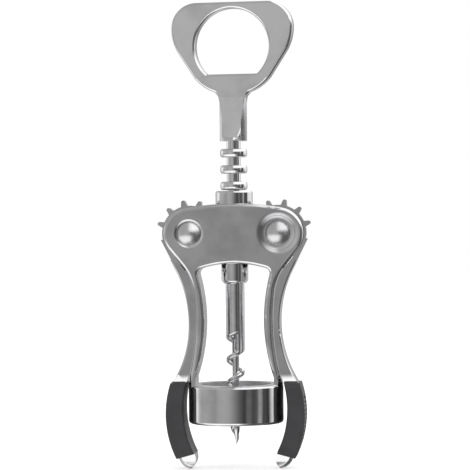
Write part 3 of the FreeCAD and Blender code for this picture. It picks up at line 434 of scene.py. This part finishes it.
def gripSection(depth):
    form = gripForm

    def inset(radius):
        over = max(0.0, abs(depth) - (form["depth"] / 2 - radius))
        return radius - math.sqrt(max(0.0, radius * radius - over * over))

    centreX, centreZ = form["outerCentre"]
    radius = form["outerRadius"] + form["outerSlant"] * depth
    middleAngle = math.asin((form["grooveMiddle"] - centreZ) / radius)
    points = []
    for angle in gripArc(form["outerCentre"], radius, form["top"], form["heel"], form["outerPoints"]):
        turns = radius * (angle - middleAngle) / form["groovePitch"]
        groove = 0.0
        if abs(turns) < form["grooves"] / 2 and form["grooveFrom"] < depth < form["grooveTo"]:
            groove = form["grooveDepth"] * (0.5 - 0.5 * math.cos(math.tau * (turns + form["grooves"] / 2)))
        reach = radius - inset(form["outerRound"]) - groove
        points.append((centreX + reach * math.cos(angle), centreZ + reach * math.sin(angle)))
    innerX, innerZ = form["innerCentre"]
    reach = form["innerRadius"] + inset(form["innerRound"]) - form["innerSlant"] * depth
    for angle in gripArc(form["innerCentre"], reach, form["toe"], form["top"], form["innerPoints"]):
        points.append((innerX + reach * math.cos(angle), innerZ + reach * math.sin(angle)))
    return points


def makeGrip(name, settings):
    half = settings["depth"] / 2
    levels = [half - cut for cut in settings["roundSteps"]]
    levels = sorted([-level for level in levels] + levels + [
        settings[end] + step * settings["grooveFade"]
        for end in ("grooveFrom", "grooveTo") for step in (-1, 1)])
    shape = bmesh.new()
    countOf = shape.verts.layers.int.new("count")
    outline = [shape.verts.new((settings["side"] * x * mm, levels[0] * mm, z * mm))
               for x, z in gripSection(levels[0])]
    for count, vert in enumerate(outline):
        vert[countOf] = count
    front = shape.faces.new(outline)
    edges = front.edges[:]
    for depth in levels[1:]:
        section = gripSection(depth)
        grown = bmesh.ops.extrude_edge_only(shape, edges=edges)["geom"]
        for vert in grown:
            if isinstance(vert, bmesh.types.BMVert):
                x, z = section[vert[countOf]]
                vert.co = (settings["side"] * x * mm, depth * mm, z * mm)
        edges = [edge for edge in grown if isinstance(edge, bmesh.types.BMEdge)]
    bmesh.ops.edgeloop_fill(shape, edges=edges)
    bmesh.ops.recalc_face_normals(shape, faces=shape.faces)
    placePiece(name, shape, settings, sharpDegrees=34)


for gripName, gripSettings in grips.items():
    makeGrip(gripName, dict(gripForm, **gripSettings))

# Guide bush, pivot pins and their caps keep their CAD forms.
smallParts = {
    "guideBush": {"node": "guide_bush", "body": "bush", "slot": "bush", "finishes": [bushPlastic]},
    "pinLeft": {"node": "pivot_pin_left", "body": "body", "slot": "steel", "finishes": [domeChrome]},
    "pinRight": {"node": "pivot_pin_right", "body": "body", "slot": "steel", "finishes": [domeChrome]},
    "capLeft": {"node": "pin_cap_left", "body": "body", "slot": "chrome", "finishes": [domeChrome]},
    "capRight": {"node": "pin_cap_right", "body": "body", "slot": "chrome", "finishes": [domeChrome]},
}
for smallName, smallSettings in smallParts.items():
    placePiece(smallName, takeSolid(smallSettings["node"]), smallSettings)


# Plain pale floor: matt paint that also glows a little to the eye, so that it meets the white
# background and keeps the object's shadow.
floorSettings = {"sizeM": 6.0, "gapMm": 0.2, "glow": 0.56, "colour": "#BCBCBC", "grainColour": "#BFBFBF",
                 "grainScale": 40.0}


def paleFloor():
    material, tree = newMaterial("paleFloorPaint")
    grain = addNode(tree, "ShaderNodeTexNoise", inputs={
        "Vector": addNode(tree, "ShaderNodeTexCoord").outputs["Object"],
        "Scale": floorSettings["grainScale"]})
    colour = addNode(tree, "ShaderNodeMix", {"data_type": "RGBA"}, {"Factor": grain.outputs["Fac"]})
    colour.inputs[6].default_value = linearColour(floorSettings["colour"])
    colour.inputs[7].default_value = linearColour(floorSettings["grainColour"])
    paint = addNode(tree, "ShaderNodeBsdfDiffuse", inputs={"Color": colour.outputs[2]})
    glow = addNode(tree, "ShaderNodeEmission", inputs={"Strength": floorSettings["glow"]})
    both = addNode(tree, "ShaderNodeAddShader")
    tree.links.new(paint.outputs[0], both.inputs[0])
    tree.links.new(glow.outputs[0], both.inputs[1])
    path = addNode(tree, "ShaderNodeLightPath")
    seen = addNode(tree, "ShaderNodeMath", {"operation": "MAXIMUM"})
    tree.links.new(path.outputs["Is Camera Ray"], seen.inputs[0])
    tree.links.new(path.outputs["Is Glossy Ray"], seen.inputs[1])
    choice = addNode(tree, "ShaderNodeMixShader", inputs={"Fac": seen.outputs[0]})
    tree.links.new(paint.outputs[0], choice.inputs[1])
    tree.links.new(both.outputs[0], choice.inputs[2])
    addNode(tree, "ShaderNodeOutputMaterial", inputs={"Surface": choice.outputs[0]})
    shape = bmesh.new()
    bmesh.ops.create_grid(shape, x_segments=8, y_segments=8, size=floorSettings["sizeM"] / 2)
    bmesh.ops.translate(shape, verts=shape.verts,
                        vec=(0, 0, cadLow.z - floorSettings["gapMm"] * mm))
    mesh = bpy.data.meshes.new("paleFloor")
    shape.to_mesh(mesh)
    shape.free()
    mesh.materials.append(material)
    floor = bpy.data.objects.new("paleFloor", mesh)
    bpy.context.scene.collection.objects.link(floor)
    floor.visible_glossy = False  # the metal mirrors the room, not the floor's grazing white


# The room that the metal mirrors, as its brightness by compass angle from straight in front, in three
# bands. Level with the object it has a plain grey front, dark stands on the right and a white screen
# at each side. Above it a white panel hangs on the right. Below it a white one stands in front and on
# the left, the right side is dark, and so is the floor right under the object.
roomSettings = {
    "above": [(-180, 0.50), (-120, 0.52), (-60, 0.50), (-20, 0.48), (-5, 0.52), (2, 1.30), (40, 1.60),
              (120, 1.50), (180, 1.30)],
    "level": [(-180, 0.40), (-160, 0.36), (-140, 0.48), (-126, 0.95), (-105, 1.00), (-97, 0.58),
              (-90, 0.46), (-76, 0.47), (-60, 0.40), (-49, 0.35), (-38, 0.44), (-26, 0.46), (-14, 0.42),
              (-5, 0.33), (2, 0.25), (11, 0.15), (19, 0.09), (25, 0.05), (31, 0.17), (38, 0.17),
              (45, 0.08), (56, 0.12), (61, 0.40), (67, 0.42), (73, 0.07), (79, 0.09), (90, 0.03),
              (96, 0.50), (102, 0.88), (140, 0.90), (156, 0.36), (180, 0.40)],
    "below": [(-180, 0.60), (-140, 0.50), (-105, 0.60), (-80, 1.40), (10, 1.40), (22, 0.60),
              (45, 0.12), (120, 0.12), (150, 0.60), (180, 1.00)],
    "aboveFrom": 7, "aboveFull": 25, "belowFrom": -7, "belowFull": -24,
    "floorFrom": -63, "floorFull": -78, "floorLevel": 0.3,
    "lift": (-0.10, 0.10, 1.0, 1.30),  # the level band grows lighter upwards between two heights
}


def studioRoom():
    world = bpy.data.worlds.new("softStudio")
    bpy.context.scene.world = world
    world.use_nodes = True
    tree = world.node_tree
    tree.nodes.clear()
    direction = addNode(tree, "ShaderNodeSeparateXYZ", inputs={
        "Vector": addNode(tree, "ShaderNodeTexCoord").outputs["Generated"]})
    frontwards = addNode(tree, "ShaderNodeMath", {"operation": "MULTIPLY"})
    tree.links.new(direction.outputs["Y"], frontwards.inputs[0])
    frontwards.inputs[1].default_value = -1.0
    compass = addNode(tree, "ShaderNodeMath", {"operation": "ARCTAN2"})
    tree.links.new(direction.outputs["X"], compass.inputs[0])
    tree.links.new(frontwards.outputs[0], compass.inputs[1])
    turn = addNode(tree, "ShaderNodeMapRange", inputs={
        "Value": compass.outputs[0], "From Min": -math.pi, "From Max": math.pi})
    bands = {}
    for height in ("above", "level", "below"):
        bands[height] = addNode(tree, "ShaderNodeValToRGB", inputs={"Fac": turn.outputs["Result"]})
        fillRamp(bands[height], greyStops([((a + 180) / 360, level) for a, level in roomSettings[height]]))
    low, high, darker, lighter = roomSettings["lift"]
    lift = addNode(tree, "ShaderNodeMapRange", inputs={
        "Value": direction.outputs["Z"], "From Min": low, "From Max": high,
        "To Min": darker, "To Max": lighter})
    lifted = addNode(tree, "ShaderNodeVectorMath", {"operation": "SCALE"}, {"Scale": lift.outputs["Result"]})
    tree.links.new(bands["level"].outputs["Color"], lifted.inputs[0])
    mirrored = lifted.outputs["Vector"]
    for height in ("above", "below", "floor"):
        share = addNode(tree, "ShaderNodeMapRange", {"interpolation_type": "SMOOTHSTEP"}, {
            "Value": direction.outputs["Z"],
            "From Min": math.sin(math.radians(roomSettings[height + "From"])),
            "From Max": math.sin(math.radians(roomSettings[height + "Full"]))})
        joined = addNode(tree, "ShaderNodeMix", {"data_type": "RGBA"}, {"Factor": share.outputs["Result"]})
        tree.links.new(mirrored, joined.inputs[6])
        if height == "floor":
            joined.inputs[7].default_value = (roomSettings["floorLevel"],) * 3 + (1.0,)
        else:
            tree.links.new(bands[height].outputs["Color"], joined.inputs[7])
        mirrored = joined.outputs[2]
    path = addNode(tree, "ShaderNodeLightPath")
    chosen = addNode(tree, "ShaderNodeMix", {"data_type": "RGBA"}, {"Factor": path.outputs["Is Camera Ray"]})
    tree.links.new(mirrored, chosen.inputs[6])
    chosen.inputs[7].default_value = (1.0, 1.0, 1.0, 1.0)
    background = addNode(tree, "ShaderNodeBackground", inputs={"Color": chosen.outputs[2], "Strength": 1.0})
    addNode(tree, "ShaderNodeOutputWorld", inputs={"Surface": background.outputs[0]})


# The photograph's own viewing angle, in degrees. Places are in metres.
cameraSettings = {
    "azimuth": 4.12, "elevation": 0.47, "roll": -0.6, "distance": 0.9,
    "aim": (0.0002, 0.0, 0.07224), "lens": 179.1, "sensor": 36.0,
}


# Three soft boxes, in watts. The metal doesn't mirror them: it has the room for that.
lampAim = (0, 0, 0.07)
lampSettings = {
    "ceilingBox": {"place": (-0.15, -0.25, 1.05), "size": (1.0, 0.8), "power": 7.0},
    "leftBox": {"place": (-1.1, -0.45, 0.45), "size": (0.5, 0.9), "power": 5.0},
    "rightFill": {"place": (1.2, -0.2, 0.35), "size": (0.3, 0.8), "power": 2.0},
}


def softLamps():
    aim = Vector(lampAim)
    for name, settings in lampSettings.items():
        lamp = bpy.data.lights.new(name, "AREA")
        lamp.shape = "RECTANGLE"
        lamp.size, lamp.size_y = settings["size"]
        lamp.energy = settings["power"]
        holder = bpy.data.objects.new(name, lamp)
        holder.location = settings["place"]
        holder.visible_glossy = False
        holder.rotation_euler = (Vector(settings["place"]) - aim).to_track_quat("Z", "Y").to_euler()
        bpy.context.scene.collection.objects.link(holder)


def photoCamera():
    data = bpy.data.cameras.new("photoCamera")
    data.lens = cameraSettings["lens"]
    data.sensor_width = cameraSettings["sensor"]
    data.clip_start, data.clip_end = 0.01, 50
    camera = bpy.data.objects.new("photoCamera", data)
    azimuth, elevation, roll = (math.radians(cameraSettings[k]) for k in ("azimuth", "elevation", "roll"))
    back = Vector((math.sin(azimuth) * math.cos(elevation),
                   -math.cos(azimuth) * math.cos(elevation), math.sin(elevation)))
    turned = Matrix.Rotation(azimuth, 4, "Z") @ Matrix.Rotation(math.pi / 2 - elevation, 4, "X")
    place = Matrix.Translation(Vector(cameraSettings["aim"]) + back * cameraSettings["distance"])
    camera.matrix_world = place @ turned @ Matrix.Rotation(roll, 4, "Z")
    bpy.context.scene.collection.objects.link(camera)
    bpy.context.scene.camera = camera


paleFloor()
studioRoom()
softLamps()
photoCamera()
bpy.context.scene.view_settings.view_transform = "Standard"
print("studio ready")
